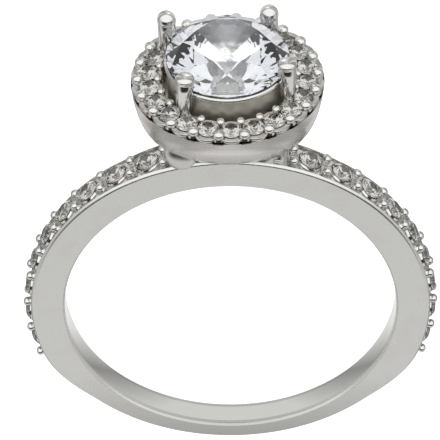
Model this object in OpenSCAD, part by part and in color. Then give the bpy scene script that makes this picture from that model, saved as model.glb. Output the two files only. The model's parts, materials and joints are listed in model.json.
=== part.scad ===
// Halo ring at rest on its side: a narrow stone-set band that carries a raised round head.
// Each piece is drawn in the ring's own axes, x across the finger, y up through the head and
// z along the finger towards the front, and is then laid down as the ring rests by itself.

/* [Finger] */
// Inside diameter of the band
finger_d = 17.3; // [15.7:0.1:19.8]

/* [Band] */
// Width of the band at the head
top_w = 1.9; // [1.84:0.02:2.1]
// Width of the band at the bottom
bottom_w = 1.6; // [1.5:0.02:1.84]
// Thickness of the band where it carries stones
band_t = 1.85; // [1.7:0.01:2.1]
// Thickness of the band at the bottom
bottom_t = 0.92; // [0.8:0.02:1.1]
// Bevel along the outer edges where the band carries stones
rail = 0.2; // [0.16:0.01:0.22]
// Small bevel along the outer edges of the plain part
edge = 0.06; // [0.04:0.01:0.08]
// Bevel where the band's faces meet the finger hole
hole_edge = 0.1; // [0.06:0.01:0.16]

/* [Band stones] */
// Stones on each shoulder of the band
shoulder_n = 9; // [8:1:9]
// Angle from the top of the ring to the first pair of beads
shoulder_start = 17.8; // [17:0.1:19]
// Angle between one stone and the next
shoulder_pitch = 10; // [9.9:0.1:10.5]
// Diameter of a band stone
shoulder_d = 1.2; // [1.1:0.01:1.3]
// Height of its girdle above the band
shoulder_rise = 0.02; // [0.01:0.01:0.06]
// Radius of a bead between two band stones
shoulder_bead_r = 0.23; // [0.22:0.01:0.26]
// Distance of a bead from the middle of the band
shoulder_bead_z = 0.44; // [0.4:0.01:0.46]
// Height of a bead's centre above the band
shoulder_bead_rise = 0.19; // [0.12:0.01:0.2]
// Angle that the stone-set part runs on past its last beads
shoulder_tail = 2.4; // [2:0.1:3]

/* [Head] */
// Height of the halo's rim above the band
head_h = 4.52; // [4.4:0.02:4.8]
// Radius of the halo's rim
rim_r = 4.82; // [4.8:0.01:4.9]
// Height of the halo's top above its rim
rim_bevel_h = 0.18; // [0.14:0.01:0.2]
// Width of the slope between the rim and the halo's top
rim_bevel_w = 0.22; // [0.18:0.01:0.24]
// Radius of the halo's inner wall
well_r = 3.38; // [3.34:0.01:3.4]
// Depth of the gap between the halo and the collar below the rim
well_d = 1.5; // [1.4:0.05:1.6]
// Radius of the collar under the centre stone
collar_r = 3.1; // [3.08:0.01:3.14]
// Radius of the collar's open middle, under the stone
collar_in = 2.72; // [2.5:0.01:2.76]
// Height of the centre stone's girdle above the collar
collar_drop = 0.12; // [0.1:0.01:0.16]

/* [Halo stones] */
// Stones round the halo
halo_n = 22; // [20:1:22]
// Radius of the circle through their middles
halo_r = 4; // [4:0.01:4.02]
// Diameter of a halo stone
halo_d = 1.1; // [1:0.01:1.1]
// Height of its girdle above the halo's top
halo_rise = 0.04; // [0.03:0.01:0.06]
// Angle of the first bead, from the right towards the front
halo_phase = -2.56; // [-8:0.01:8]
// Radius of the circle through the outer beads
outer_bead_at = 4.5; // [4.5:0.01:4.56]
// Radius of an outer bead
outer_bead_r = 0.22; // [0.16:0.01:0.24]
// Radius of the circle through the inner beads
inner_bead_at = 3.48; // [3.46:0.01:3.48]
// Radius of an inner bead
inner_bead_r = 0.18; // [0.14:0.01:0.18]
// Height of a bead's centre above the halo's top
halo_bead_rise = 0.13; // [0.08:0.01:0.14]

/* [Centre stone] */
// Diameter of the centre stone
centre_d = 6.1; // [5.8:0.05:6.1]
// Height of its girdle above the halo's rim
centre_rise = 1.52; // [1.3:0.02:1.6]

/* [Prongs] */
// Radius of a prong's wire
prong_r = 0.42; // [0.36:0.01:0.42]
// Radius of a prong's rounded tip
tip_r = 0.47; // [0.44:0.01:0.5]
// Distance of a prong's foot from the middle of the head
prong_foot_at = 3.5; // [3.45:0.01:3.55]
// Distance of a prong's tip from the middle of the head
prong_tip_at = 3.4; // [3.35:0.01:3.45]

/* [Hidden] */
$fn = 48;
// Each prong stands in place of an inner bead: the bead's number, and the tip's height over the rim
PRONGS = [[2, 2.38], [8, 2.24], [13, 2.5], [19, 2.1]];
// The head's wall from the band up: share of the head's height, half length, half depth
WALL = [[-0.19, 2.52, 0.87], [-0.09, 2.62, 0.91], [0.075, 3.05, 1.45], [0.295, 3.6, 2.27],
        [0.515, 4.1, 3.24], [0.736, 4.52, 4.12], [1, rim_r, 1.075 * rim_r]];
// Proportions of a round brilliant cut, as shares of its diameter
table_share = 0.57;
crown_share = 0.15;
girdle_share = 0.03;
pavilion_share = 0.42;
// How far the star facets reach down the crown, and the lower girdle facets down the pavilion
star_reach = 0.45;
lower_reach = 0.77;
// Space between a stone's girdle and the metal round it, and between its facets' corners and the metal
stone_gap = 0.03;
corner_gap = 0.015;
// How far the tools that bevel the band reach from its faces
tool_reach = 2;
// How far joined shapes run into each other, and cuts run out of the metal
overrun = 0.5;
// More than the size of the whole ring, for the halves that are cut away
beyond = 40;

finger_r = finger_d / 2;
band_r = finger_r + band_t;
bottom_r = finger_r + bottom_t;
// The lower arc passes through the bottom and meets the upper one beside the finger
lower_c = (band_r * band_r - bottom_r * bottom_r) / (2 * bottom_r);
lower_r = bottom_r + lower_c;
shoulder_end = shoulder_start + shoulder_n * shoulder_pitch + shoulder_tail;
// Each face of the band leans by this angle, and is half middle_w from its middle beside the finger
taper = atan((top_w - bottom_w) / 2 / (band_r + bottom_r));
middle_w = bottom_w + 2 * bottom_r * tan(taper);
halo_pitch = 360 / halo_n;
rim_h = band_r + head_h;
halo_top = rim_h + rim_bevel_h;
well_h = rim_h - well_d;
centre_h = rim_h + centre_rise;

// The ring leans on the back of the halo's rim and on the back edge at the band's bottom
edge_z = middle_w / 2 - (bottom_r - edge) * tan(taper);
rest_tilt = atan((rim_r - edge_z) / (rim_h + bottom_r - edge));
lift = rim_r * cos(rest_tilt) - rim_h * sin(rest_tilt);
function prong_turn(p) = halo_phase + p[0] * halo_pitch;
far_end = max([for (p = PRONGS) (rim_h + p[1]) * cos(rest_tilt)
    - prong_tip_at * sin(prong_turn(p)) * sin(rest_tilt)]) + tip_r;
near_end = -bottom_r * cos(rest_tilt) - (edge_z - edge) * sin(rest_tilt);
middle = (far_end + near_end) / 2;

SIDES = ["left", "right"];
halo_names = [for (i = [1:halo_n]) str("halo_stone_", i)];
shoulder_names = [for (s = SIDES, i = [1:shoulder_n]) str("shoulder_stone_", s, "_", i)];

// From the ring's own axes to the way it lies
module as_it_rests() {
    translate([0, -middle, lift]) rotate([rest_tilt, 0, 0]) children();
}

// A place on the band, at an angle from the top and a radius, with z pointing outwards
module on_band(turn, r) {
    rotate([0, 0, -turn]) translate([0, r, 0]) rotate([-90, 0, 0]) children();
}

// A place on the head, at an angle from the right towards the front, with z pointing up the head
module on_head(turn = 0, r = 0, h = 0) {
    rotate([-90, 0, 0]) rotate([0, 0, -turn]) translate([r, 0, h]) children();
}

// Radii of the corners where the star facets end, and where the lower girdle facets end
function star_radius(d) = (table_share + (1 - table_share) * star_reach) * d / 2 / cos(22.5);
function lower_radius(d) = (1 - lower_reach) * d / 2 / cos(22.5);
function ring_points(n, r, z, first = 0) =
    [for (i = [0:n - 1]) [r * cos(first + i * 360 / n), r * sin(first + i * 360 / n), z]];

// A round brilliant with its girdle's lower edge at z = 0 and its table up
module brilliant(d) {
    r = d / 2;
    girdle = girdle_share * d;
    crown = crown_share * d;
    pavilion = pavilion_share * d;
    points = concat(
        ring_points(8, table_share * r, girdle + crown),
        ring_points(8, star_radius(d), girdle + crown * (1 - star_reach), 22.5),
        ring_points(16, r, girdle),
        ring_points(16, r, 0),
        ring_points(8, lower_radius(d), -pavilion * lower_reach, 22.5),
        [[0, 0, -pavilion]]);
    table0 = 0;
    star0 = 8;
    top0 = 16;
    low0 = 32;
    pav0 = 48;
    culet = 56;
    faces = concat(
        [[for (i = [7:-1:0]) table0 + i]],
        [for (i = [0:7]) [table0 + i, table0 + (i + 1) % 8, star0 + i]],
        [for (i = [0:7]) [table0 + i, star0 + i, top0 + 2 * i, star0 + (i + 7) % 8]],
        [for (i = [0:7]) [star0 + i, top0 + 2 * i + 1, top0 + 2 * i]],
        [for (i = [0:7]) [star0 + i, top0 + (2 * i + 2) % 16, top0 + 2 * i + 1]],
        [for (j = [0:15]) [top0 + j, top0 + (j + 1) % 16, low0 + (j + 1) % 16, low0 + j]],
        [for (i = [0:7]) [pav0 + i, low0 + 2 * i, low0 + 2 * i + 1]],
        [for (i = [0:7]) [pav0 + i, low0 + 2 * i + 1, low0 + (2 * i + 2) % 16]],
        [for (i = [0:7]) [culet, pav0 + (i + 7) % 8, low0 + 2 * i, pav0 + i]]);
    polyhedron(points, faces);
}

// The room a stone needs in the metal: two cones that pass just outside its facets' corners
module stone_room(d) {
    wall = d / 2 + stone_gap;
    girdle = girdle_share * d;
    down = pavilion_share * d * lower_reach / (wall - lower_radius(d) - corner_gap);
    up = crown_share * d * (1 - star_reach) / (wall - star_radius(d) - corner_gap);
    rotate_extrude()
        polygon([[0, -wall * down], [wall, 0], [wall, girdle], [0, girdle + wall * up]]);
}

// A round plate across the finger, or a sector of one, a little thicker than the band
module plate(r, turn = 360) {
    half = top_w / 2 + edge;
    rotate_extrude(angle = turn) polygon([[0, -half], [r, -half], [r, half], [0, half]]);
}

// What lies within the leaning front face and a bevel round it
module behind_front(r, y, bevel) {
    depth = tool_reach + middle_w / 2;
    rotate([taper, 0, 0]) translate([0, y, -tool_reach])
        cylinder(h = depth, r1 = r - bevel + depth, r2 = r - bevel);
}

module between_faces(r, y, bevel) {
    intersection() {
        children();
        behind_front(r, y, bevel);
        mirror([0, 0, 1]) behind_front(r, y, bevel);
    }
}

module hole_bevel() {
    rotate([taper, 0, 0]) translate([0, 0, middle_w / 2 - 2 * hole_edge])
        cylinder(h = 3 * hole_edge, r1 = finger_r - hole_edge, r2 = finger_r + 2 * hole_edge);
}

module shank() {
    difference() {
        union() {
            between_faces(band_r, 0, rail)
                rotate([0, 0, 90 - shoulder_end]) plate(band_r, 2 * shoulder_end);
            between_faces(lower_r, lower_c, edge) intersection() {
                translate([0, lower_c, 0]) plate(lower_r);
                translate([-beyond / 2, -beyond, -beyond / 2]) cube(beyond);
            }
        }
        translate([0, 0, -top_w]) cylinder(h = 2 * top_w, r = finger_r);
        hole_bevel();
        mirror([0, 0, 1]) hole_bevel();
    }
}

// The bowl: round seen from above at the rim, and drawn in to the band's width at its foot
module bowl() {
    heights = [for (w = WALL) band_r + w[0] * head_h];
    last = len(WALL) - 1;
    side = concat([for (i = [0:last]) [WALL[i][1], heights[i]]],
                  [[rim_r - rim_bevel_w, halo_top], [0, halo_top], [0, heights[0]]]);
    front = concat([for (i = [0:last]) [heights[i], WALL[i][2]]],
                   [[beyond / 2, WALL[last][2]], [beyond / 2, -WALL[last][2]]],
                   [for (i = [last:-1:0]) [heights[i], -WALL[i][2]]]);
    intersection() {
        on_head() rotate_extrude() polygon(side);
        translate([-beyond / 2, 0, 0]) rotate([90, 0, 90]) linear_extrude(beyond) polygon(front);
    }
}

// A round wire with a ball at its tip, notched where the centre stone's edge sits in it
module prong(p) {
    rise = p[1] + well_d;
    lean = atan((prong_foot_at - prong_tip_at) / rise);
    difference() {
        on_head(prong_turn(p), prong_foot_at, well_h) rotate([0, -lean, 0]) {
            cylinder(h = rise / cos(lean), r = prong_r);
            translate([0, 0, rise / cos(lean)]) sphere(tip_r);
        }
        on_head(h = centre_h) stone_room(centre_d);
    }
}

module head() {
    difference() {
        bowl();
        on_head(h = well_h) cylinder(h = halo_top - well_h + overrun, r = well_r);
    }
    difference() {
        on_head(h = well_h - overrun) cylinder(h = centre_h - collar_drop - well_h + overrun, r = collar_r);
        on_head(h = well_h) cylinder(h = centre_h - well_h, r = collar_in);
        on_head(h = centre_h) stone_room(centre_d);
    }
    for (p = PRONGS) prong(p);
}

module halo_beads() {
    for (i = [0:halo_n - 1]) {
        turn = halo_phase + i * halo_pitch;
        on_head(turn, outer_bead_at, halo_top + halo_bead_rise) sphere(outer_bead_r);
        if (len(search(i, [for (p = PRONGS) p[0]])) == 0)
            on_head(turn, inner_bead_at, halo_top + halo_bead_rise) sphere(inner_bead_r);
    }
}

module shoulder_beads() {
    for (s = [-1, 1], i = [0:shoulder_n], z = [-1, 1])
        on_band(s * (shoulder_start + i * shoulder_pitch), band_r + shoulder_bead_rise)
            translate([0, z * shoulder_bead_z, 0]) sphere(shoulder_bead_r);
}

module at_halo_stone(i) {
    on_head(halo_phase + (i + 0.5) * halo_pitch, halo_r, halo_top + halo_rise) children();
}

module at_shoulder_stone(s, i) {
    on_band(s * (shoulder_start + (i + 0.5) * shoulder_pitch), band_r + shoulder_rise) children();
}

module ring_body() {
    color("silver") as_it_rests() difference() {
        union() {
            shank();
            head();
            halo_beads();
            shoulder_beads();
        }
        for (i = [0:halo_n - 1]) at_halo_stone(i) stone_room(halo_d);
        for (s = [-1, 1], i = [0:shoulder_n - 1]) at_shoulder_stone(s, i) stone_room(shoulder_d);
    }
}

module centre_stone() {
    color("azure") as_it_rests() on_head(h = centre_h) brilliant(centre_d);
}

module halo_stone(i) {
    color("lightcyan") as_it_rests() at_halo_stone(i) brilliant(halo_d);
}

module shoulder_stone(s, i) {
    color("lightcyan") as_it_rests() at_shoulder_stone(s, i) brilliant(shoulder_d);
}

ring_body();
centre_stone();
for (i = [0:halo_n - 1]) halo_stone(i);
for (k = [0:1], i = [0:shoulder_n - 1])
    shoulder_stone(2 * k - 1, i);
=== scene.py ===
"""Halo ring: the looks of a narrow stone-set band with a raised round head, lying on its side.

Every piece is modelled in the ring's own axes, in millimetres, with x across the finger, y up through the
head and z along the finger towards the front. It is then laid down where the frame's finger hole lies.
"""

import json
import logging
import math
from contextlib import contextmanager
from dataclasses import dataclass, field
from enum import Enum
from typing import Callable, Iterable, Iterator, Sequence

import bpy
from bpy.types import Material, Node, NodeSocket, NodeTree, Object
from mathutils import Matrix, Vector


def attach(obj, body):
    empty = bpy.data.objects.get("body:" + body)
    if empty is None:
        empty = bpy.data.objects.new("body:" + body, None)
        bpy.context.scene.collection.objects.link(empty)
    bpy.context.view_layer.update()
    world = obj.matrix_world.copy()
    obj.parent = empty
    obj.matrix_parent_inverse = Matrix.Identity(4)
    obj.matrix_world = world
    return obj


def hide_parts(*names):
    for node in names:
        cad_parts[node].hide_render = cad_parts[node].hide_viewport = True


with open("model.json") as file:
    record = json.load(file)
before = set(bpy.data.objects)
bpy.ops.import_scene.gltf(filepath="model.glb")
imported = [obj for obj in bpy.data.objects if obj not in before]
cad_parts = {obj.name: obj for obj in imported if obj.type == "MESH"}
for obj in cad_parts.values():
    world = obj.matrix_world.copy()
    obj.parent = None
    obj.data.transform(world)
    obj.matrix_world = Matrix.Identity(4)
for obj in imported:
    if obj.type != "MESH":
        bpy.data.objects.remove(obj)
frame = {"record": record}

MM = 0.001
PICTURE = 440
NEAR = 1e-4
WHITE = (1, 1, 1, 1)
# Where a Mix node keeps its two colours, and the blended one among its outputs
COLOUR_A, COLOUR_B, BLENDED = 6, 7, 2
# A grain bead's root: how far down it starts and how much it flares; and how flat the ball's top is
ROOT_FROM, ROOT_FLARE, TOP_FLAT = 0.6, 1.45, 0.8
LOG = logging.getLogger("halo_ring")


class Surface(Enum):
    """How a stretch of the metal was finished at the bench, or darkened as painted shade."""

    SATIN = "satin"
    POLISHED = "polished"
    RECESS = "recess"
    # Dark metal that paints shade into the seats under the stones, the notches under the outer beads and the
    # line where the bowl meets the band
    SEAT = "seat"
    BRUSHED = "brushed"


def ease(value: float, low: float, high: float) -> float:
    """Rise smoothly from 0 to 1 as a value goes from low to high."""
    share = min(max((value - low) / (high - low), 0.0), 1.0)
    return share * share * (3 - 2 * share)


def linear(code: str) -> tuple[float, float, float, float]:
    """Turn an sRGB colour into the linear one that shaders take.

    Args:
        code: The colour as six hex digits.

    Returns:
        Linear red, green and blue, with alpha 1.
    """
    parts = [int(code[i:i + 2], 16) / 255 for i in (0, 2, 4)]
    red, green, blue = (c / 12.92 if c <= 0.04045 else ((c + 0.055) / 1.055) ** 2.4 for c in parts)
    return red, green, blue, 1.0


def deselect() -> None:
    """Leave nothing selected, so that the next operator acts on its own primitive alone."""
    for thing in bpy.context.selected_objects:
        thing.select_set(False)


def pick(piece: Object) -> None:
    """Make a piece the only selected one, and active.

    Args:
        piece: The object to work on.
    """
    deselect()
    piece.select_set(True)
    bpy.context.view_layer.objects.active = piece


def begin(name: str, primitive: Callable[..., set[str]], **settings: object) -> Object:
    """Add a primitive with nothing else selected, and name it.

    Args:
        name: The new object's name.
        primitive: The operator that adds it.
        settings: The operator's settings.

    Returns:
        The new object.
    """
    deselect()
    primitive(**settings)
    bpy.context.object.name = name
    return bpy.context.object


@contextmanager
def editing() -> Iterator[None]:
    """Work on the active object in edit mode for a while."""
    bpy.ops.object.mode_set(mode="EDIT")
    yield
    bpy.ops.object.mode_set(mode="OBJECT")


def choose_vertices(piece: Object, test: Callable[[Vector], bool]) -> None:
    """Select in edit mode the vertices that pass a test on their place.

    Args:
        piece: The object in edit mode.
        test: Says of a vertex's place whether it is chosen.
    """
    bpy.ops.mesh.select_mode(type="VERT")
    bpy.ops.mesh.select_all(action="DESELECT")
    bpy.ops.object.mode_set(mode="OBJECT")
    for vertex in piece.data.vertices:
        vertex.select = test(vertex.co)
    bpy.ops.object.mode_set(mode="EDIT")


def tidy_mesh(piece: Object) -> None:
    """Merge doubled vertices and turn every face outwards.

    Args:
        piece: The object to tidy, in object mode.
    """
    pick(piece)
    with editing():
        bpy.ops.mesh.select_all(action="SELECT")
        bpy.ops.mesh.remove_doubles(threshold=NEAR)
        bpy.ops.mesh.normals_make_consistent(inside=False)


def copy_to(source: Object, place: Matrix, name: str) -> Object:
    """Copy a piece to a place, with a mesh of its own.

    Args:
        source: The piece, modelled at the origin.
        place: Where the copy goes.
        name: The copy's name.

    Returns:
        The copy.
    """
    twin = source.copy()
    twin.data = source.data.copy()
    twin.data.transform(place)
    twin.name = name
    bpy.context.collection.objects.link(twin)
    return twin


def join(pieces: Sequence[Object], name: str) -> Object:
    """Join several pieces into the first of them.

    Args:
        pieces: The pieces, at least two.
        name: The joined object's name.

    Returns:
        The joined object.
    """
    deselect()
    for piece in pieces:
        piece.select_set(True)
    bpy.context.view_layer.objects.active = pieces[0]
    bpy.ops.object.join()
    pieces[0].name = name
    return pieces[0]


def copies(source: Object, places: Iterable[Matrix], name: str) -> Object:
    """Copy a piece to several places, join the copies into one object and remove the first.

    Args:
        source: The piece to repeat, modelled at the origin.
        places: Where each copy goes.
        name: The joined object's name.

    Returns:
        The joined object.
    """
    made = [copy_to(source, place, name) for place in places]
    bpy.data.objects.remove(source)
    return join(made, name)


def apply_modifier(piece: Object, kind: str, settings: dict[str, object]) -> None:
    """Add a modifier to a piece and apply it at once.

    Args:
        piece: The object to change.
        kind: The modifier's type.
        settings: Its properties by name.
    """
    pick(piece)
    modifier = piece.modifiers.new(kind.title(), kind)
    for key, value in settings.items():
        setattr(modifier, key, value)
    bpy.ops.object.modifier_apply(modifier=modifier.name)


def cut_away(piece: Object, tool: Object) -> None:
    """Cut a tool's shape out of a piece and remove the tool.

    Args:
        piece: The metal that is cut.
        tool: The closed shape that is taken away.
    """
    apply_modifier(piece, "BOOLEAN", {"operation": "DIFFERENCE", "solver": "EXACT", "object": tool})
    bpy.data.objects.remove(tool)
    tidy_mesh(piece)


def lathe(profile: Sequence[tuple[float, float]], sides: int, name: str) -> Object:
    """Turn a profile round the z axis, as on a lathe.

    Args:
        profile: Radius and height of each corner, from one end to the other.
        sides: Steps round the axis.
        name: The new object's name.

    Returns:
        The closed turned shape.
    """
    piece = begin(name, bpy.ops.mesh.primitive_plane_add, size=1)
    with editing():
        choose_vertices(piece, lambda place: place.x > 0 or place.y > 0)
        bpy.ops.mesh.delete(type="VERT")
    piece.data.vertices[0].co = (profile[0][0], 0, profile[0][1])
    with editing():
        bpy.ops.mesh.select_all(action="SELECT")
        for (r0, h0), (r1, h1) in zip(profile, profile[1:]):
            bpy.ops.mesh.extrude_region_move(TRANSFORM_OT_translate={"value": (r1 - r0, 0, h1 - h0)})
        bpy.ops.mesh.select_all(action="SELECT")
        bpy.ops.mesh.spin(steps=sides, angle=2 * math.pi, center=(0, 0, 0), axis=(0, 0, 1))
    tidy_mesh(piece)
    return piece


@dataclass(frozen=True)
class RingAxes:
    """The ring's own axes in the frame, read from the mount of the finger hole.

    Attributes:
        centre: Middle of the finger hole, in metres.
        axis: The finger's direction, towards the ring's front.
        finger_r: Radius of the hole, in millimetres.
    """

    centre: Vector
    axis: Vector
    finger_r: float

    @classmethod
    def from_record(cls, record: dict) -> "RingAxes":
        """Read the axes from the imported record."""
        mount = next(m for m in record["mounts"] if m["name"] == "finger_hole")
        return cls(Vector(mount["pos_m"]), Vector(mount["axis"]).normalized(), mount["dims"]["r_mm"])

    def turn(self) -> Matrix:
        """Return the rotation from the ring's axes to the row's."""
        across = Vector((1, 0, 0))
        up = self.axis.cross(across).normalized()
        return Matrix((across, up, self.axis)).transposed()

    def lay_down(self) -> Matrix:
        """Return the move from millimetres in the ring's axes to metres in the row's."""
        return Matrix.Translation(self.centre) @ self.turn().to_4x4() @ Matrix.Scale(MM, 4)


def on_band(turn: float, r: float) -> Matrix:
    """Give a place on the band, z outwards: degrees from the head to the right, and a radius."""
    return (Matrix.Rotation(math.radians(-turn), 4, "Z") @ Matrix.Translation((0, r, 0))
            @ Matrix.Rotation(math.radians(-90), 4, "X"))


def on_head(turn: float = 0.0, r: float = 0.0, h: float = 0.0) -> Matrix:
    """Give a place on the head, z up: degrees from the right to the front, a radius and a height."""
    return (Matrix.Rotation(math.radians(-90), 4, "X") @ Matrix.Rotation(math.radians(-turn), 4, "Z")
            @ Matrix.Translation((r, 0, h)))


def add_node(tree: NodeTree, kind: str, settings: dict[str | int, object] | None = None,
             links: dict[str | int, NodeSocket] | None = None,
             stops: Sequence[tuple[float, float]] = ()) -> Node:
    """Add one shader node with its settings and links.

    Args:
        tree: The node tree.
        kind: The node's type name, without the ShaderNode that all of them start with.
        settings: Properties of the node, or default values of its inputs, by name or number.
        links: Output sockets to join to its inputs, by name or number.
        stops: On a ramp, where each stop stands and its level of grey.

    Returns:
        The new node.
    """
    node = tree.nodes.new("ShaderNode" + kind)
    for key, value in (settings or {}).items():
        if isinstance(key, str) and hasattr(node, key):
            setattr(node, key, value)
        else:
            node.inputs[key].default_value = value
    for key, socket in (links or {}).items():
        tree.links.new(socket, node.inputs[key])
    while stops and len(node.color_ramp.elements) < len(stops):
        node.color_ramp.elements.new(0.5)
    for i, (position, level) in enumerate(stops):
        node.color_ramp.elements[i].position = position
        node.color_ramp.elements[i].color = (level, level, level, 1)
    return node


def split_rays(tree: NodeTree, mirrored: NodeSocket, seen: NodeSocket,
               output: str) -> None:
    """Show one shader to the camera and another to every other ray.

    Args:
        tree: The node tree.
        mirrored: The shader that reflections and stones pick up.
        seen: The shader that the camera sees.
        output: The name of the tree's output node.
    """
    camera = add_node(tree, "LightPath").outputs["Is Camera Ray"]
    mix = add_node(tree, "MixShader", {}, {"Fac": camera, 1: mirrored, 2: seen})
    tree.links.new(mix.outputs[0], tree.nodes[output].inputs["Surface"])


def new_material(name: str, values: dict[str, object]) -> Material:
    """Start a material from plain values of its shader.

    Args:
        name: The material's name.
        values: The values, by the names of the shader's sockets.

    Returns:
        The new material.
    """
    made = bpy.data.materials.new(name)
    made.use_nodes = True
    for socket, value in values.items():
        made.node_tree.nodes["Principled BSDF"].inputs[socket].default_value = value
    return made


@dataclass(frozen=True)
class WhiteMetal:
    """Rhodium-plated silver: a cool white metal, satin on its broad faces and mirror-like where burnished.

    Attributes:
        surface: How this stretch was finished.
        light: sRGB colour of clean plating.
        warm: sRGB colour of the faintly rosy patches where the plating is thin.
        roughness: Least and most roughness, after the polishing wheel.
        patch_mm: Size of the patches.
        scratch_mm: Spacing of the fine wheel marks; real ones are finer, and are drawn as coarse as shows.
        relief: Height of the marks against their spacing.
        bottom_shade: sRGB colour of the painted shade that greys the band towards its bottom.
        bottom_shade_mm: Heights against the finger hole's middle where the painted shade starts and is full.
    """

    surface: Surface
    light: str = "DADAD7"
    warm: str = "D9D5D1"
    roughness: tuple[float, float] = (0.22, 0.3)
    patch_mm: float = 1.6
    scratch_mm: float = 0.12
    relief: float = 0.02
    bottom_shade: str = "DADAD7"
    bottom_shade_mm: tuple[float, float] = (-5.0, -9.4)

    def material(self, axes: RingAxes) -> Material:
        """Build the material's nodes.

        Args:
            axes: The ring's axes, along which the painted shade runs.

        Returns:
            The finished material.
        """
        made = new_material("rhodium_silver_" + self.surface.value, {"Metallic": 1.0})
        tree = made.node_tree
        shader = tree.nodes["Principled BSDF"]
        place = add_node(tree, "TexCoord").outputs["Object"]
        patches = add_node(tree, "TexNoise", {"Scale": 1 / (self.patch_mm * MM), "Detail": 2.0},
                           {"Vector": place})
        spread = add_node(tree, "MapRange", {"From Min": 0.5, "From Max": 0.75},
                          {"Value": patches.outputs["Fac"]})
        tint = add_node(tree, "Mix", {"data_type": "RGBA", COLOUR_A: linear(self.light),
                                      COLOUR_B: linear(self.warm)},
                        {"Factor": spread.outputs["Result"]})
        # Painted shade: the base colour greys towards the bottom of the band, where the band lies in shade
        up = axes.turn() @ Vector((0, 1, 0))
        height = add_node(tree, "VectorMath", {"operation": "DOT_PRODUCT", 1: up}, {0: place})
        start, full = (mm * MM + up.dot(axes.centre) for mm in self.bottom_shade_mm)
        shade_share = add_node(tree, "MapRange", {"From Min": start, "From Max": full},
                        {"Value": height.outputs["Value"]})
        shaded_colour = add_node(tree, "Mix", {"data_type": "RGBA", COLOUR_B: linear(self.bottom_shade)},
                          {"Factor": shade_share.outputs["Result"], COLOUR_A: tint.outputs[BLENDED]})
        tree.links.new(shaded_colour.outputs[BLENDED], shader.inputs["Base Color"])
        marks = add_node(tree, "TexNoise", {"Scale": 1 / (self.scratch_mm * MM), "Detail": 3.0},
                         {"Vector": place})
        least, most = self.roughness
        rough = add_node(tree, "MapRange", {"To Min": least, "To Max": most},
                         {"Value": marks.outputs["Fac"]})
        tree.links.new(rough.outputs["Result"], shader.inputs["Roughness"])
        tall = self.scratch_mm * MM * self.relief
        bump = add_node(tree, "Bump", {"Strength": 1.0, "Distance": tall},
                        {"Height": marks.outputs["Fac"]})
        tree.links.new(bump.outputs["Normal"], shader.inputs["Normal"])
        return made


@dataclass(frozen=True)
class CubicZirconia:
    """Cut cubic zirconia: colourless, hard and very bright, with sharp polished facets.

    Attributes:
        name: What the stones of this finish are called.
        body: sRGB colour of the stone.
        ior: Its refractive index.
    """

    name: str
    body: str = "FFFFFF"
    ior: float = 2.16

    def material(self) -> Material:
        """Build the finished material."""
        return new_material(self.name, {"Base Color": linear(self.body), "Roughness": 0.0, "IOR": self.ior,
                                        "Transmission Weight": 1.0})


@dataclass
class Workshop:
    """What every sub-assembly shares: the ring's axes, the finishes, and the last step of each piece."""

    axes: RingAxes
    satin: Material
    polished: Material
    recess: Material
    # Dark metal that paints shade into the seats, the notches and the joint line
    seat: Material
    brushed: Material
    centre_gem: Material
    small_gem: Material
    smooth_deg: float = 32.0
    seat_rim: float = 0.02

    def dress_where(self, piece: Object, material: Material,
                    test: Callable[[Vector], bool]) -> None:
        """Give part of a piece that is handed over a finish of its own.

        Args:
            piece: The piece.
            material: The finish.
            test: Says of a face's middle, in the ring's axes and millimetres, whether it is dressed.
        """
        if material.name not in piece.data.materials:
            piece.data.materials.append(material)
        slot = piece.data.materials.find(material.name)
        back = self.axes.lay_down().inverted()
        for face in piece.data.polygons:
            if test(back @ face.center):
                face.material_index = slot

    def darken_seats(self, piece: Object, places: Sequence[Matrix], wall: float, deep: float) -> None:
        """Paint shade into the seats under the stones with the dark metal.

        Args:
            piece: The piece that the seats are cut in.
            places: The stones' places.
            wall: Radius of a seat.
            deep: Depth of a seat under the stone's girdle.
        """
        inverse = [place.inverted() for place in places]

        def in_seat(place: Vector) -> bool:
            """Say whether a place lies in one of the seats."""
            return any(-deep < (spot := back @ place).z < -self.seat_rim and math.hypot(spot.x, spot.y) < wall
                       for back in inverse)

        self.dress_where(piece, self.seat, in_seat)

    def set_stones(self, first: Object, places: dict[str, Matrix]) -> None:
        """Set copies of a small stone, each a piece of its own, and remove the first.

        Args:
            first: The stone, ground at the origin.
            places: Each copy's place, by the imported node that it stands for.
        """
        for node, place in places.items():
            stone = copy_to(first, place, node + "_cut")
            self.hand_over(stone, self.small_gem, "small_gem", node, smooth=False)
        bpy.data.objects.remove(first)

    def hand_over(self, piece: Object, material: Material, slot: str = "white_metal",
                  node: str = "ring_body", smooth: bool = True) -> None:
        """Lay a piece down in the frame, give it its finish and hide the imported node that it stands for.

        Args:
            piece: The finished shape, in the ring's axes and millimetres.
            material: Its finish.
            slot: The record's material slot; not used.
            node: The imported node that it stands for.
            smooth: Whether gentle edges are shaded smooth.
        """
        pick(piece)
        piece.data.transform(self.axes.lay_down())
        piece.data.materials.clear()
        piece.data.materials.append(material)
        if smooth:
            bpy.ops.object.shade_smooth_by_angle(angle=math.radians(self.smooth_deg))
        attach(piece, "root")
        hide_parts(node)
        LOG.info("%s: %d faces", piece.name, len(piece.data.polygons))


@dataclass(frozen=True)
class Cut:
    """Proportions of a round brilliant, as shares of its diameter.

    Attributes:
        table: Width of the table.
        crown: Height of the crown.
        girdle: Thickness of the girdle.
        pavilion: Depth of the pavilion.
        star_reach: How far the star facets run down the crown.
        lower_reach: How far the lower girdle facets run down the pavilion.
        girdle_sides: Sides of the rounded girdle.
        mains: Main facets of the crown, and of the pavilion.
    """

    table: float = 0.57
    crown: float = 0.15
    girdle: float = 0.03
    pavilion: float = 0.42
    star_reach: float = 0.5
    lower_reach: float = 0.77
    girdle_sides: int = 64
    mains: int = 8


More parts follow.
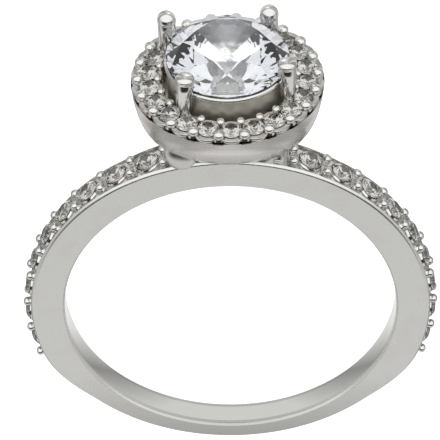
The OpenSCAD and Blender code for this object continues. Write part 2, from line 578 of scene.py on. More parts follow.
@dataclass
class Stone:
    """A round brilliant, ground facet by facet out of a round blank.

    Attributes:
        diameter: Across the girdle, in millimetres.
        name: The stone's name.
        cut: Its proportions.
    """

    diameter: float
    name: str
    cut: Cut = field(default_factory=Cut)

    def grind(self, a: Vector, b: Vector, c: Vector) -> None:
        """Cut off what lies outside the plane through three points, and close the facet.

        Args:
            a: A point of the facet.
            b: A second one.
            c: A third one.
        """
        normal = (b - a).cross(c - a).normalized()
        if normal.dot(a) < 0:
            normal.negate()
        bpy.ops.mesh.select_all(action="SELECT")
        bpy.ops.mesh.bisect(plane_co=a, plane_no=normal, use_fill=True, clear_outer=True, threshold=NEAR)

    def build(self) -> Object:
        """Grind the stone, with its girdle's lower edge at z = 0 and its table up.

        Returns:
            The closed stone.
        """
        r = self.diameter / 2
        crown, girdle, pavilion = (share * self.diameter for share in
                                   (self.cut.crown, self.cut.girdle, self.cut.pavilion))
        table_r = self.cut.table * r
        stone = begin(self.name, bpy.ops.mesh.primitive_cylinder_add, vertices=self.cut.girdle_sides,
                      radius=r, depth=2 * (pavilion + crown + girdle))

        def at(turn: float, radius: float, z: float) -> Vector:
            """Give a point from its turn in degrees, radius and height."""
            return Vector((radius * math.cos(math.radians(turn)), radius * math.sin(math.radians(turn)), z))

        half = 180 / self.cut.mains
        inset = math.cos(math.radians(half))
        slope = crown / (r - table_r)
        star_in = table_r * inset
        star_r = star_in + (r - star_in) * self.cut.star_reach
        star_z = girdle + (r - star_r * inset) * slope
        low_r = r * (1 - self.cut.lower_reach)
        low_z = -pavilion * (1 - low_r * inset / r)
        culet = Vector((0, 0, -pavilion))
        top = Vector((0, 0, girdle + crown))
        turns = [i * 2 * half for i in range(self.cut.mains)]
        with editing():
            for turn in turns:
                across = Vector((-math.sin(math.radians(turn)), math.cos(math.radians(turn)), 0))
                self.grind(culet, at(turn, r, 0), culet + across)
                self.grind(at(turn, r, girdle), at(turn, table_r, top.z), at(turn, r, girdle) + across)
            for turn in turns:
                for side in (-half, half):
                    self.grind(at(turn, r, 0), at(turn + side, r, 0), at(turn + side, low_r, low_z))
                    self.grind(at(turn, r, girdle), at(turn + side, r, girdle),
                               at(turn + side, star_r, star_z))
                self.grind(at(turn, table_r, top.z), at(turn + 2 * half, table_r, top.z),
                           at(turn + half, star_r, star_z))
            self.grind(top, top + Vector((1, 0, 0)), top + Vector((0, 1, 0)))
        tidy_mesh(stone)
        return stone


@dataclass(frozen=True)
class SectionPoint:
    """A corner of the band's section, on its front half.

    Attributes:
        back: How far it lies behind the front face.
        r: Its radius where the band carries stones.
        drop: Its depth under the outer surface of the plain part, or None inside the finger hole.
        in_channel: Whether it lies in the channel between the rails.
    """

    back: float
    r: float
    drop: float | None = None
    in_channel: bool = False


@dataclass
class Band:
    """The band: a channel of stones in cells between two rails, and a thinner plain lower half."""

    shop: Workshop
    thickness: float = 1.85
    bottom_t: float = 0.92
    top_w: float = 1.9
    bottom_w: float = 1.6
    rail_r: float = 10.42
    back_rail: float = 0.07
    back_root: float = 0.13
    back_fade: tuple[float, float] = (16.0, 32.0)
    back_end: float = 120.0
    floor_r: float = 10.3
    # Rounded edge of the finger hole: how far behind the front face and outside the hole
    comfort: tuple[tuple[float, float], ...] = ((0.5, 0.0), (0.3, 0.004), (0.16, 0.012), (0.11, 0.02),
                                                (0.04, 0.075), (0.014, 0.1), (0.0, 0.118), (0.0, 0.135))
    # Rounded edge of a rail: how far behind the front face, under the rail's top and under the plain part's
    edge: tuple[tuple[float, float, float], ...] = (
        (0.0, 0.19, 0.125), (0.0, 0.17, 0.1), (0.003, 0.145, 0.07), (0.011, 0.118, 0.05), (0.024, 0.09, 0.03),
        (0.042, 0.066, 0.016), (0.098, 0.012, 0.003), (0.112, 0.003, 0.0), (0.13, 0.003, 0.0))
    steps: int = 480
    stones: int = 9
    root_turn: float = 14.2
    first_turn: float = 18.2
    pitch: float = 10.0
    tail: float = 2.4
    tail_fade: float = 1.0
    fade: float = 26.0
    stone_d: float = 1.2
    stone_rise: float = 0.02
    cell_r: float = 0.68
    cell_deep: float = 0.62
    # Bevel round a cell: how far inside its wall, and the height; and its inner rim, outside the seat
    cell_edge: tuple[tuple[float, float], ...] = ((0.0, -0.115), (0.006, -0.095), (0.016, -0.078))
    seat_edge: tuple[tuple[float, float], ...] = ((0.012, -0.004), (0.004, 0.0), (0.0, -0.003))
    cell_sides: int = 48
    bore_r: float = 0.5
    bore_h: tuple[float, float] = (0.02, 0.3)
    bore_sides: int = 24
    seat_gap: float = 0.03
    bead_r: float = 0.24
    bead_z: float = 0.46
    bead_rise: float = 0.12
    bridge: tuple[float, float] = (0.54, 1.04)
    bridge_drop: float = 0.08
    bridge_bevel: float = 0.06
    cut: Cut = field(default_factory=lambda: Cut(girdle_sides=32))

    @property
    def outer_r(self) -> float:
        """Radius of the circle through the tops of the cells."""
        return self.shop.axes.finger_r + self.thickness

    def half_width(self, up: float) -> float:
        """Give half the band's width.

        Args:
            up: Height above the middle of the finger hole.

        Returns:
            The distance of the front face from the band's middle there.
        """
        bottom_r = self.shop.axes.finger_r + self.bottom_t
        share = (up + bottom_r) / (self.outer_r + bottom_r)
        return (self.bottom_w + (self.top_w - self.bottom_w) * share) / 2

    def plain_r(self, turn: float) -> float:
        """Give the outer radius of the arc that the plain part follows.

        Args:
            turn: Angle from the head, in radians, either way.

        Returns:
            The radius there.
        """
        bottom_r = self.shop.axes.finger_r + self.bottom_t
        rise = (self.rail_r ** 2 - bottom_r ** 2) / (2 * bottom_r)
        return rise * math.cos(turn) + math.sqrt((bottom_r + rise) ** 2 - (rise * math.sin(turn)) ** 2)

    def section(self) -> list[SectionPoint]:
        """Give the front half of the section, from the finger hole round to the channel.

        Returns:
            Its corners in order.
        """
        hole = self.shop.axes.finger_r
        inside = [SectionPoint(back, hole + out) for back, out in self.comfort]
        rail = [SectionPoint(back, self.rail_r - down, drop) for back, down, drop in self.edge]
        wall = [(0.146, self.rail_r - 0.025), (0.154, self.rail_r - 0.06), (0.16, self.floor_r + 0.01),
                (0.17, self.floor_r)]
        return inside + rail + [SectionPoint(back, r, 0.0, True) for back, r in wall]

    def radius_at(self, point: SectionPoint, turn: float) -> float:
        """Give the radius of one of the section's corners round the band.

        Args:
            point: The corner.
            turn: Angle from the head, in radians, either way.

        Returns:
            The radius there.
        """
        if point.drop is None:
            return point.r
        end = self.first_turn + self.stones * self.pitch
        degrees = math.degrees(abs(turn))
        r = point.r
        if point.in_channel:
            r += (self.rail_r - r) * ease(degrees, end + self.tail - self.tail_fade, end + self.tail)
        return r + (self.plain_r(turn) - point.drop - r) * ease(degrees, end, end + self.fade)

    def stone_places(self, side: int, rise: float) -> list[Matrix]:
        """Give places above one shoulder's cells, from the head down; side is 1 at the right, else -1."""
        return [on_band(side * (self.first_turn + (i + 0.5) * self.pitch), self.outer_r + rise)
                for i in range(self.stones)]

    @property
    def cells(self) -> list[Matrix]:
        """Places of the cells' tops on both shoulders."""
        return self.stone_places(-1, 0) + self.stone_places(1, 0)

    def build_metal(self) -> None:
        """Spin the band from its section, taper it, thin its lower half and bore it under each stone."""
        half = self.section()
        middle = self.half_width(0)
        corners = {(point.r, side * (middle - point.back)): point for side in (1, -1) for point in half}
        ring = [(point.r, middle - point.back) for point in half]
        ring += [(r, -z) for r, z in reversed(ring)]
        band = lathe(ring + ring[:1], self.steps, "band")
        for vertex in band.data.vertices:
            x, y, z = vertex.co
            turn, r = math.atan2(x, y), math.hypot(x, y)
            corner = corners[min(corners, key=lambda spot: abs(spot[0] - r) + abs(spot[1] - z))]
            grown = self.radius_at(corner, turn)
            if z < 0 and corner.drop is not None and not corner.in_channel:
                degrees = math.degrees(abs(turn))
                grown += self.back_rail * (1 - ease(degrees, self.stones * self.pitch, self.back_end))
                grown += self.back_root * (1 - ease(degrees, *self.back_fade))
            deep = self.half_width(grown * math.cos(turn)) - corner.back
            vertex.co = (x * grown / r, y * grown / r, math.copysign(deep, z))
        low, high = self.bore_h[0] - self.cell_deep, self.bore_h[1]
        bore = lathe([(0, low), (self.bore_r, low), (self.bore_r, high), (0, high)], self.bore_sides, "bore")
        cut_away(band, copies(bore, self.cells, "band_bores"))
        self.shop.hand_over(band, self.shop.satin)
        hole = self.shop.axes.finger_r + self.comfort[1][1]
        self.shop.dress_where(band, self.shop.polished, lambda place: math.hypot(place.x, place.y) < hole)

    def build_cells(self) -> None:
        """Stand a round cell with a bevelled rim under each stone."""
        seat = self.stone_d / 2 + self.seat_gap
        deep = self.cut.pavilion * self.stone_d + self.seat_gap
        profile = [(0, -self.cell_deep), (self.cell_r, -self.cell_deep)]
        profile += [(self.cell_r - back, h) for back, h in self.cell_edge]
        profile += [(seat + out, h) for out, h in self.seat_edge] + [(0, -deep)]
        cells = copies(lathe(profile, self.cell_sides, "cell"), self.cells, "shoulder_cells")
        self.shop.hand_over(cells, self.shop.polished)
        # Painted shade: the seats under the stones are darkened
        self.shop.darken_seats(cells, self.cells, seat, deep)

    def build_bridges(self) -> None:
        """Leave a low block under each pair of beads, and one that closes the channel at the head."""
        block = begin("bridge", bpy.ops.mesh.primitive_cube_add, size=1)
        block.scale = (*self.bridge, self.cell_deep - self.bridge_drop)
        bpy.ops.object.transform_apply(location=True, rotation=True, scale=True)
        apply_modifier(block, "BEVEL", {"width": self.bridge_bevel, "segments": 3})
        low = -(self.cell_deep + self.bridge_drop) / 2
        turns = [self.root_turn] + [self.first_turn + i * self.pitch for i in range(self.stones + 1)]
        places = [on_band(side * turn, self.outer_r) @ Matrix.Translation((0, 0, low))
                  for side in (-1, 1) for turn in turns]
        self.shop.hand_over(copies(block, places, "shoulder_bridges"), self.shop.brushed)

    def build_beads(self) -> None:
        """Raise the pairs of grain beads between the stones."""
        bead = grain_bead(self.bead_r, self.bead_rise + self.bead_r, "shoulder_beads")
        places = [on_band(side * (self.first_turn + i * self.pitch), self.outer_r + self.bead_rise)
                  @ Matrix.Translation((0, z, 0))
                  for side in (-1, 1) for i in range(self.stones + 1) for z in (-self.bead_z, self.bead_z)]
        self.shop.hand_over(copies(bead, places, "shoulder_beads"), self.shop.polished)

    def build_stones(self) -> None:
        """Set both shoulders with stones."""
        self.shop.set_stones(Stone(self.stone_d, "melee", self.cut).build(), {
            f"shoulder_stone_{word}_{i}": place for side, word in ((-1, "left"), (1, "right"))
            for i, place in enumerate(self.stone_places(side, self.stone_rise), 1)})

    def build(self) -> None:
        """Build the whole band."""
        self.build_metal()
        self.build_cells()
        self.build_bridges()
        self.build_beads()
        self.build_stones()


def grain_bead(r: float, depth: float, name: str) -> Object:
    """Model one grain bead: a burnished ball drawn up on a flared root.

    Args:
        r: The ball's radius.
        depth: How far its root reaches below the ball's middle.
        name: The bead's name.

    Returns:
        The bead, with its middle at the origin and its root down.
    """
    bead = begin(name, bpy.ops.mesh.primitive_uv_sphere_add, segments=20, ring_count=12, radius=r)
    with editing():
        choose_vertices(bead, lambda place: place.z < -ROOT_FROM * r)
        bpy.ops.transform.translate(value=(0, 0, -(depth - r)))
        bpy.ops.transform.resize(value=(ROOT_FLARE, ROOT_FLARE, 1), center_override=(0, 0, 0))
        choose_vertices(bead, lambda place: place.z > 0)
        bpy.ops.transform.resize(value=(1, 1, TOP_FLAT), center_override=(0, 0, 0))
    return bead


@dataclass(frozen=True)
class BowlRow:
    """One level of the bowl's outline, from the foot up and over the halo into the well.

    Attributes:
        height: Above the middle of the finger hole.
        a: Half its length across the finger.
        b: Half its depth along the finger.
        power: 2 for an ellipse, more for a squarer outline.
        scallop: 0 for a plain outline, 1 for the outer scallops, -1 for the inner ones.
        notch: How far the level drops between two scallops.
    """

    height: float
    a: float = 0.0
    b: float = 0.0
    power: float = 2.0
    scallop: int = 0
    notch: float = 0.0


@dataclass
class Head:
    """The head: a flared bowl with a halo of stones, a collar and prongs round the centre stone."""

    shop: Workshop
    rim_h: float = 15.02
    rim_r: float = 4.82
    lip_h: float = 0.18
    well_d: float = 0.8
    lobe_at: float = 4.04
    lobe_r: float = 0.78
    lobe_sides: int = 16
    notch_deep: float = 0.2
    notch_under: float = 0.03
    notch_turn: float = 3.0
    # Heights between which the line where the bowl meets the band is painted in shade
    joint_shade_line: tuple[float, float] = (10.295, 10.372)
    solder_at: tuple[float, float, float] = (-2.42, 10.6, 0.6)
    solder_size: tuple[float, float, float] = (0.82, 1.0, 0.5)
    solder_lean: float = 29.0
    stones: int = 22
    halo_r: float = 4.0
    stone_d: float = 1.1
    stone_rise: float = 0.04
    seat_gap: float = 0.03
    seat_room: float = 1.06
    seat_sides: int = 36
    phase: float = -2.56
    outer_at: float = 4.47
    outer_r: float = 0.3
    outer_rise: float = 0.16
    inner_at: float = 3.47
    inner_r: float = 0.22
    inner_rise: float = 0.13
    bead_root: float = 0.2
    collar_r: float = 3.12
    collar_in: float = 2.7
    collar_drop: float = 0.1
    collar_sink: float = 0.1
    collar_step: float = 0.12
    collar_lap: float = 0.2
    collar_sides: int = 160
    lip_tall: float = 0.15
    lip_edge: float = 0.01
    play: float = 0.02
    centre_d: float = 6.1
    centre_rise: float = 1.52
    centre_turn: float = 22.5
    prong_foot_at: float = 3.5
    prong_top_r: float = 0.45
    prong_foot_r: float = 0.35
    prong_foot_h: float = 0.2
    # A prong under its tip: how far inside its top radius, and under the tip's middle
    prong_neck: tuple[tuple[float, float], ...] = ((0.0, 0.6), (0.0, 0.22), (0.012, 0.19))
    prong_sides: int = 48
    tip_r: float = 0.48
    room_slope: float = 0.75
    room_sides: int = 96
    # Each prong: the bead whose place it takes, its tip's distance from the axis and rise, and its dome
    prongs: tuple[tuple[int, float, float, float], ...] = ((2, 3.4, 2.5, 0.26), (8, 3.34, 2.36, 0.26),
                                                           (13, 3.48, 2.51, 0.48), (19, 3.37, 2.1, 0.48))
    cut: Cut = field(default_factory=lambda: Cut(girdle_sides=32))

    @property
    def pitch(self) -> float:
        """Angle from one halo stone to the next."""
        return 360 / self.stones

    @property
    def top(self) -> float:
        """Height of the halo's flat top."""
        return self.rim_h + self.lip_h

    def bowl_rows(self) -> list[BowlRow]:
        """Give the bowl's levels.

        Returns:
            The levels from the foot to the well's floor.
        """
        rim, top, well = self.rim_h, self.top, self.rim_h - self.well_d
        foot = [(9.6, 2.5, 0.9, 2.2), (10.2, 2.62, 0.955, 2.1), (10.29, 2.68, 0.965, 2.0),
                (10.31, 2.6, 0.9, 2.0), (10.365, 2.62, 0.9, 2.0), (10.37, 2.8, 1.0, 2.0),
                (10.39, 2.86, 1.05, 2.0), (10.6, 3.02, 1.2, 2.1),
                (10.84, 3.16, 1.42, 2.2), (11.32, 3.48, 1.84, 2.35), (11.82, 3.78, 2.3, 2.45),
                (12.32, 4.04, 2.78, 2.5), (12.82, 4.26, 3.25, 2.45), (13.32, 4.46, 3.7, 2.35),
                (13.82, 4.62, 4.12, 2.22), (14.42, 4.75, 4.52, 2.08)]
        edge = [(rim - 0.06, 0.012), (rim - 0.025, 0.0), (rim - 0.008, 0.008)]
        lobes = [(rim + 0.01, -0.035, 1), (rim + 0.022, -0.006, 1), (rim + 0.04, 0.0, 1),
                 (top - 0.05, 0.0, 1), (top - 0.02, -0.012, 1), (top, -0.045, 1), (top, 0.03, -1),
                 (top - 0.03, 0.0, -1), (well, 0.0, -1)]
        return ([BowlRow(*row) for row in foot]
                + [BowlRow(height, self.rim_r - back, self.rim_r - back) for height, back in edge]
                + [BowlRow(rim - 0.012, -0.04, scallop=1, notch=self.notch_deep)]
                + [BowlRow(height, out, scallop=way) for height, out, way in lobes])

    def place_on_row(self, row: BowlRow, turn: float) -> tuple[float, float, float]:
        """Give a point on one of the bowl's levels.

        Args:
            row: The level; on a scalloped one, a is how far it lies outside the scallops.
            turn: Angle from the right towards the front, in radians.

        Returns:
            The point, with z up the head.
        """
        across, front = math.cos(turn), math.sin(turn)
        if not row.scallop:
            size = (abs(across / row.a) ** row.power + abs(front / row.b) ** row.power) ** (-1 / row.power)
            return across * size, -front * size, row.height
        step = math.radians(self.pitch)
        off = (turn - math.radians(self.phase)) % step - step / 2
        reach = math.sqrt(self.lobe_r ** 2 - (self.lobe_at * math.sin(off)) ** 2)
        size = self.lobe_at * math.cos(off) + row.scallop * reach + row.a
        cusp = abs(off) / (step / 2)
        return across * size, -front * size, row.height - row.notch * cusp ** 1.5

    def in_notch(self, place: Vector) -> bool:
        """Say whether a place lies in the cut between two scallops, under an outer bead.

        Args:
            place: The place, in the ring's axes.

        Returns:
            Whether it does.
        """
        spot = on_head().inverted() @ place
        low, high = self.rim_h - self.notch_deep - NEAR, self.top - self.notch_under
        off = (math.degrees(math.atan2(-spot.y, spot.x)) - self.phase + self.pitch / 2) % self.pitch
        outside = math.hypot(spot.x, spot.y) > self.outer_at
        return low < spot.z < high and outside and abs(off - self.pitch / 2) < self.notch_turn

    def build_bowl(self) -> None:
        """Raise the bowl level by level, over the scalloped halo into the well, and cut the halo's seats."""
        rows = self.bowl_rows()
        sides = self.stones * self.lobe_sides
        bowl = begin("bowl", bpy.ops.mesh.primitive_circle_add, vertices=sides, radius=1, fill_type="NGON",
                     location=(0, 0, rows[0].height))
        bpy.ops.object.transform_apply(location=True, rotation=True, scale=True)
        with editing():
            for _ in rows[1:]:
                bpy.ops.mesh.extrude_region_move(TRANSFORM_OT_translate={"value": (0, 0, 1)})
        for i, row in enumerate(rows):
            for k, vertex in enumerate(bowl.data.vertices[i * sides:(i + 1) * sides]):
                vertex.co = self.place_on_row(row, math.radians(self.phase) - 2 * math.pi * k / sides)
        tidy_mesh(bowl)
        bowl.data.transform(on_head())
        half = self.stone_d / 2
        wall = half + self.seat_gap
        deep = self.cut.pavilion * self.stone_d * self.seat_room + self.seat_gap
        burr = lathe([(0, -deep), (wall, 0), (wall, half), (0, half)], self.seat_sides, "halo_seat")
        cut_away(bowl, copies(burr, self.stone_places(), "halo_seats"))
        self.shop.hand_over(bowl, self.shop.brushed)
        # Painted shade: dark metal in the seats under the halo stones, in the notches under the outer beads
        # and along the line where the bowl meets the band
        self.shop.darken_seats(bowl, self.stone_places(), wall, deep)
        self.shop.dress_where(bowl, self.shop.seat, self.in_notch)
        under, over = self.joint_shade_line
        self.shop.dress_where(bowl, self.shop.seat, lambda place: under < place.y < over)

    def stone_places(self) -> list[Matrix]:
        """Give the places of the halo's stones, in the order of their nodes."""
        return [on_head(self.phase + (i + 0.5) * self.pitch, self.halo_r, self.top + self.stone_rise)
                for i in range(self.stones)]

    def build_collar(self) -> None:
        """Turn the open collar that the centre stone sits in, and its rounded lip."""
        low = self.rim_h - self.well_d - self.collar_sink
        high = self.rim_h + self.centre_rise - self.collar_drop
        slope = 2 * self.cut.pavilion
        inner = self.centre_d / 2 - self.collar_drop / slope - self.play
        wall, end = self.collar_r - self.collar_step, high - self.collar_lap
        tube = lathe([(self.collar_in, low), (wall, low), (wall, end), (self.collar_in, end),
                      (self.collar_in, low)], self.collar_sides, "collar")
        mid, thick, tall = (inner + self.collar_r) / 2, (self.collar_r - inner) / 2 + self.play, self.lip_tall
        bulge = [(mid + thick * math.cos(math.radians(t)), high - tall + tall * math.sin(math.radians(t)))
                 for t in range(-60, 100, 10)]
        heel = (wall - self.lip_edge, high - 2 * tall - self.play)
        lip = lathe([heel] + bulge + [(inner, high - self.lip_edge),
                                      (self.collar_in, high - (inner - self.collar_in) * slope),
                                      (self.collar_in, heel[1]), heel], self.collar_sides, "collar_lip")
        for part, finish in ((tube, self.shop.recess), (lip, self.shop.polished)):
            part.data.transform(on_head())
            self.shop.hand_over(part, finish)

    def build_prong(self, number: int, step: int, tip_at: float, rise: float, dome: float) -> None:
        """Draw one prong up from the well to its rounded tip over the stone's edge.

        Args:
            number: The prong's number, from 1.
            step: The bead whose place it takes.
            tip_at: Distance of its tip from the head's axis.
            rise: Height of its tip's middle above the rim.
            dome: Height of the tip's dome.
        """
        low = -self.well_d
        profile = [(0, low), (self.prong_foot_r, low), (self.prong_foot_r, self.prong_foot_h)]
        profile += [(self.prong_top_r - back, rise - down) for back, down in self.prong_neck]
        arc = [(self.tip_r * math.cos(math.radians(t)), rise + dome * math.sin(math.radians(t)))
               for t in range(-20, 90, 10)]
        prong = lathe(profile + arc + [(0, rise + dome)], self.prong_sides, f"prong_{number}")
        lean = math.atan2(self.prong_foot_at - tip_at, rise - low)
        prong.data.transform(Matrix.Translation((tip_at, 0, rise))
                             @ Matrix.Rotation(-lean, 4, "Y") @ Matrix.Translation((0, 0, -rise)))
        prong.data.transform(on_head(self.phase + step * self.pitch, 0, self.rim_h))
        wall = self.centre_d / 2 + self.play
        girdle = self.cut.girdle * self.centre_d
        room = lathe([(0, -wall * 2 * self.cut.pavilion), (wall, 0), (wall, girdle),
                      (0, girdle + wall * self.room_slope)], self.room_sides, "stone_room")
        room.data.transform(on_head(0, 0, self.rim_h + self.centre_rise))
        cut_away(prong, room)
        self.shop.hand_over(prong, self.shop.polished)

    def build_solder(self) -> None:
        """Bring the bowl's left end down over the band's rail in one rounded, leaning lobe."""
        lobe = begin("solder_lobe", bpy.ops.mesh.primitive_uv_sphere_add, segments=48, ring_count=32,
                     radius=1)
        lobe.data.transform(Matrix.Translation(self.solder_at)
                            @ Matrix.Rotation(math.radians(self.solder_lean), 4, "Z")
                            @ Matrix.Diagonal((*self.solder_size, 1)))
        self.shop.hand_over(lobe, self.shop.brushed)

    def build_beads(self) -> None:
        """Raise the halo's outer and inner beads."""
        taken = [prong[0] for prong in self.prongs]
        outer = copies(grain_bead(self.outer_r, self.outer_rise + self.bead_root, "outer"),
                       [on_head(self.phase + i * self.pitch, self.outer_at, self.top + self.outer_rise)
                        for i in range(self.stones)], "halo_beads")
        inner = copies(grain_bead(self.inner_r, self.inner_rise + self.bead_root, "inner"),
                       [on_head(self.phase + i * self.pitch, self.inner_at, self.top + self.inner_rise)
                        for i in range(self.stones) if i not in taken], "inner_beads")
        self.shop.hand_over(join([outer, inner], "halo_beads"), self.shop.polished)

    def build_stones(self) -> None:
        """Set the halo and the centre stone."""
        self.shop.set_stones(Stone(self.stone_d, "melee", self.cut).build(), {
            f"halo_stone_{i}": place for i, place in enumerate(self.stone_places(), 1)})
        centre = Stone(self.centre_d, "centre_stone_cut").build()
        centre.data.transform(on_head(self.centre_turn, 0, self.rim_h + self.centre_rise))
        self.shop.hand_over(centre, self.shop.centre_gem, "centre_gem", "centre_stone", smooth=False)

    def build(self) -> None:
        """Build the whole head."""
        self.build_bowl()
        self.build_solder()
        self.build_collar()
        for number, prong in enumerate(self.prongs, 1):
            self.build_prong(number, *prong)
        self.build_beads()
        self.build_stones()


@dataclass
class Studio:
    """The pale floor, the light tent round the ring and the camera at the photo's angle."""

    axes: RingAxes
    elevation_deg: float = 43.97
    azimuth_deg: float = 0.48
    roll_deg: float = 0.76
    distance_mm: float = 200.0
    pixels_per_mm: float = 19.085
    ring_centre_px: tuple[float, float] = (230.5, 298.0)
    sensor_mm: float = 36.0
    floor_size: float = 3.0
    floor_colour: str = "F4F4F4"
    floor_rough: float = 0.9
    floor_glow: float = 0.7
    reach_mm: float = 12.0
    # The floor's painted glow in reflections, by how far aside of the ring's middle, in millimetres
    mirrored: tuple[tuple[float, float], ...] = ((0, 0.86), (2.5, 0.84), (5.5, 0.36), (7.6, 0.92),
                                                 (8.8, 0.92), (10.5, 0.42))
    spot_at_mm: tuple[float, float] = (0.0, 20.3)
    spot_mm: tuple[float, float] = (2.6, 1.2)
    spot_glow: float = 5.0
    spot_patch_mm: float = 0.5
    # The tent's level by degrees up the head, in front of the ring and beside it
    seam: tuple[tuple[float, float], ...] = ((-90, 0.8), (-36, 0.86), (-30, 0.04), (3, 0.04), (7, 1.3),
                                             (90, 1.3))
    side: tuple[tuple[float, float], ...] = ((-90, 0.8), (-36, 0.86), (-30, 0.7), (3, 0.7), (20, 1.2),
                                             (90, 1.3))
    seam_edge: tuple[float, float] = (0.5, 0.75)
    through_stones: float = 0.3

    def build_camera(self) -> None:
        """Place the camera so that the ring's middle falls where the photo has it."""
        e, a, roll = (math.radians(v) for v in (self.elevation_deg, self.azimuth_deg, self.roll_deg))
        turn = self.axes.turn()
        back = turn @ Vector((math.sin(a) * math.cos(e), math.sin(e), math.cos(a) * math.cos(e)))
        right = turn @ Vector((math.cos(a), 0, -math.sin(a)))
        up = back.cross(right)
        right, up = (math.cos(roll) * right - math.sin(roll) * up,
                     math.sin(roll) * right + math.cos(roll) * up)
        place = self.axes.centre + back * self.distance_mm * MM
        focal = self.pixels_per_mm * self.distance_mm
        over, down = (PICTURE / 2 - v for v in self.ring_centre_px)
        back = (back - right * over / focal + up * down / focal).normalized()
        right = (right - back * right.dot(back)).normalized()
        camera = bpy.data.objects.new("camera", bpy.data.cameras.new("camera"))
        camera.data.sensor_width = self.sensor_mm
        camera.data.lens = focal / PICTURE * self.sensor_mm
        camera.data.clip_start = self.distance_mm * MM / 10
        camera.matrix_world = (Matrix.Translation(place)
                               @ Matrix((right, back.cross(right), back)).transposed().to_4x4())
        bpy.context.collection.objects.link(camera)
        bpy.context.scene.camera = camera

    def build_floor(self) -> None:
        """Lay the plain pale floor, which glows with painted light in reflections alone: in bands of grey and
        one bright patch.
        """
        floor = begin("floor", bpy.ops.mesh.primitive_plane_add, size=self.floor_size, location=(0, 0, 0))
        made = new_material("white_card", {"Base Color": linear(self.floor_colour),
                                           "Roughness": self.floor_rough, "Specular IOR Level": 0.0,
                                           "Emission Color": WHITE, "Emission Strength": self.floor_glow})
        tree = made.node_tree
        place = add_node(tree, "TexCoord").outputs["Object"]
        parts = add_node(tree, "SeparateXYZ", {}, {"Vector": place})
        aside = add_node(tree, "Math", {"operation": "ABSOLUTE"}, {0: parts.outputs["X"]})
        share = add_node(tree, "MapRange", {"From Max": self.reach_mm * MM}, {"Value": aside.outputs[0]})
        glow = add_node(tree, "ValToRGB", {}, {"Fac": share.outputs["Result"]},
                        [(mm / self.reach_mm, level) for mm, level in self.mirrored])
        away = add_node(tree, "Mapping",
                        {"vector_type": "TEXTURE", "Location": [mm * MM for mm in self.spot_at_mm] + [0],
                         "Scale": [mm * MM for mm in self.spot_mm] + [1]}, {"Vector": place})
        far = add_node(tree, "VectorMath", {"operation": "LENGTH"}, {0: away.outputs["Vector"]})
        # A mottled bright patch of painted light on the floor, seen in reflections alone
        spot_mottle = add_node(tree, "TexNoise", {"Scale": 1 / (self.spot_patch_mm * MM)}, {"Vector": place})
        spread = add_node(tree, "MapRange", {"From Min": 0.4, "From Max": 0.6, "To Min": 0.25},
                          {"Value": spot_mottle.outputs["Fac"]})
        spot = add_node(tree, "MapRange", {"From Min": 1.0, "From Max": 0.3, "To Max": self.spot_glow,
                                           "interpolation_type": "SMOOTHSTEP"},
                        {"Value": far.outputs["Value"]})
        total = add_node(tree, "Math", {"operation": "MULTIPLY_ADD"},
                         {0: spot.outputs["Result"], 1: spread.outputs["Result"], 2: glow.outputs["Color"]})
        dim = add_node(tree, "Emission", {"Color": WHITE}, {"Strength": total.outputs[0]})
        split_rays(tree, dim.outputs[0], tree.nodes["Principled BSDF"].outputs[0], "Material Output")
        floor.data.materials.append(made)

    def build_tent(self) -> None:
        """Light the ring from a white tent, with a dark seam in front just below the height of the head."""
        world = bpy.data.worlds.new("light_tent")
        bpy.context.scene.world = world
        world.use_nodes = True
        tree = world.node_tree
        towards = add_node(tree, "TexCoord").outputs["Generated"]
        turn = self.axes.turn()
        up, ahead = (add_node(tree, "VectorMath", {"operation": "DOT_PRODUCT", 1: turn @ Vector(axis)},
                              {0: towards}).outputs["Value"] for axis in ((0, 1, 0), (0, 0, 1)))
        height = add_node(tree, "MapRange", {"From Min": -1.0, "From Max": 1.0}, {"Value": up})
        start, end = self.seam_edge
        front = add_node(tree, "MapRange", {"From Min": start, "From Max": end}, {"Value": ahead})
        side, seam = (add_node(tree, "ValToRGB", {}, {"Fac": height.outputs["Result"]},
                               [((math.sin(math.radians(degrees)) + 1) / 2, level)
                                for degrees, level in stops]) for stops in (self.side, self.seam))
        blend = add_node(tree, "Mix", {"data_type": "RGBA"},
                         {"Factor": front.outputs["Result"], COLOUR_A: side.outputs["Color"],
                          COLOUR_B: seam.outputs["Color"]})
        through = add_node(tree, "Math", {"operation": "MULTIPLY", 1: self.through_stones},
                           {0: add_node(tree, "LightPath").outputs["Is Transmission Ray"]})
        lifted = add_node(tree, "Mix", {"data_type": "RGBA", COLOUR_B: WHITE},
                          {"Factor": through.outputs[0], COLOUR_A: blend.outputs[BLENDED]})
        shade = tree.nodes["Background"]
        tree.links.new(lifted.outputs[BLENDED], shade.inputs["Color"])
        backdrop = add_node(tree, "Background", {"Color": WHITE, "Strength": 1.0})
        split_rays(tree, shade.outputs[0], backdrop.outputs[0], "World Output")
        bpy.context.scene.view_settings.view_transform = "Standard"

    def build(self) -> None:
        """Set up the whole studio."""
        self.build_camera()
        self.build_floor()
        self.build_tent()


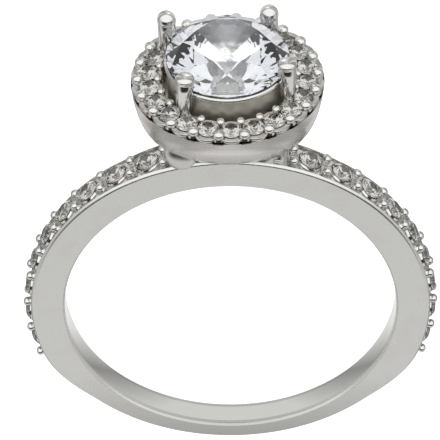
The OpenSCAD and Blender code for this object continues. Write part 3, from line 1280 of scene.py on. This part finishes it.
def main() -> None:
    """Build the studio and the ring in order."""
    logging.basicConfig(level=logging.INFO, format="%(message)s")
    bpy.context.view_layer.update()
    axes = RingAxes.from_record(frame["record"])
    Studio(axes).build()
    # The satin band's painted shade greys it towards its bottom
    shop = Workshop(axes, WhiteMetal(Surface.SATIN, bottom_shade="B4B4B0").material(axes),
                    WhiteMetal(Surface.POLISHED, roughness=(0.04, 0.08), relief=0.004).material(axes),
                    WhiteMetal(Surface.RECESS, light="DEDBD0", warm="E4DED2", roughness=(0.42, 0.5),
                               patch_mm=0.7).material(axes),
                    # Dark metal for the painted shade in the seats, the notches and the joint line
                    WhiteMetal(Surface.SEAT, light="6E6A64", warm="8A8278", bottom_shade="6E6A64",
                               roughness=(0.3, 0.45), patch_mm=0.4).material(axes),
                    WhiteMetal(Surface.BRUSHED, light="CFCECA", warm="D2CAC6").material(axes),
                    CubicZirconia("centre_gem", body="E6E9EE").material(),
                    CubicZirconia("small_gem", body="DAD8D2").material())
    Band(shop).build()
    Head(shop).build()


if __name__ == "__main__":
    main()
